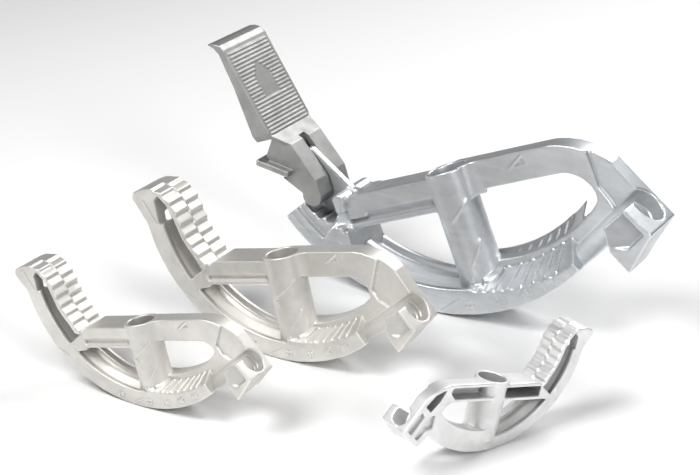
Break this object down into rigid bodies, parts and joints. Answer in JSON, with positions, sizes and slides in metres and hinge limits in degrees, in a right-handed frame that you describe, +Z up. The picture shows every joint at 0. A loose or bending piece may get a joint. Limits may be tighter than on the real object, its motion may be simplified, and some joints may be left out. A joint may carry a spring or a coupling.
{
  "type": "conduit bender head set",
  "caption": "Conduit bender heads: cast shoes with a grooved rim, handle socket, stepped tread and conduit hook; the largest has a hinged foot pedal.",
  "frame": {"origin": "on the ground, under the middle of the set's bounding box", "axes": "+Z up; +X from the toes to the noses of the three parallel heads, -Y towards the side that carries their marks"},
  "size_m": [0.5448, 0.4114, 0.2605],
  "materials": {
    "cast_cool": "satin",
    "cast_warm": "satin",
    "pedal_cast": "matte",
    "pin_steel": "satin"
  },
  "bodies": {
    "inch_and_quarter_head": {"head_inch_and_quarter": "cast_cool", "pedal_pin": "pin_steel"},
    "pedal": {"foot_pedal": "pedal_cast"},
    "one_inch_head": {"head_one_inch": "cast_warm"},
    "three_quarter_inch_head": {"head_three_quarter_inch": "cast_warm"},
    "half_inch_head": {"head_half_inch": "cast_warm"}
  },
  "joints": [
    {"name": "pedal_hinge", "type": "hinge", "parent": "inch_and_quarter_head", "child": "pedal", "pos_m": [-0.13167, 0.16366, 0.10137], "axis": [0, -1, 0], "range_deg": [-30, 48]},
    {"name": "one_inch_lift", "type": "slide", "parent": "inch_and_quarter_head", "child": "one_inch_head", "axis": [0, 0, 1], "range_m": [0, 0.15]},
    {"name": "three_quarter_inch_lift", "type": "slide", "parent": "inch_and_quarter_head", "child": "three_quarter_inch_head", "axis": [0, 0, 1], "range_m": [0, 0.15]},
    {"name": "half_inch_lift", "type": "slide", "parent": "inch_and_quarter_head", "child": "half_inch_head", "axis": [0, 0, 1], "range_m": [0, 0.15]}
  ]
}
